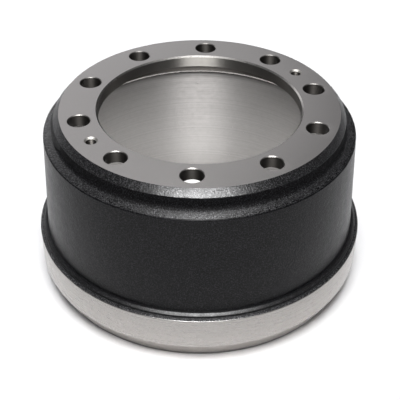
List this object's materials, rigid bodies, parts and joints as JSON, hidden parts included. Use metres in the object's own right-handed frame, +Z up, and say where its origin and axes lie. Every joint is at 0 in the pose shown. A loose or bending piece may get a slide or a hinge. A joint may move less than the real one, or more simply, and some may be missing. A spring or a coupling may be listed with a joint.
{
  "type": "brake drum",
  "caption": "Cast iron brake drum for a heavy axle: piloted mounting flange, stepped neck, drafted wall, bead and a turned band at the open rim.",
  "frame": {"origin": "middle of the open rim's face, on the floor that the drum stands on", "axes": "+Z up along the drum's axis, out through the mounting face; +X to the picture's right"},
  "size_m": [0.473, 0.473, 0.2555],
  "materials": {
    "drum_iron": "grey iron, cast skin with a thin grey coat, turned face, band and braking surface"
  },
  "bodies": {
    "root": {"brake_drum": "drum_iron"}
  },
  "joints": []
}
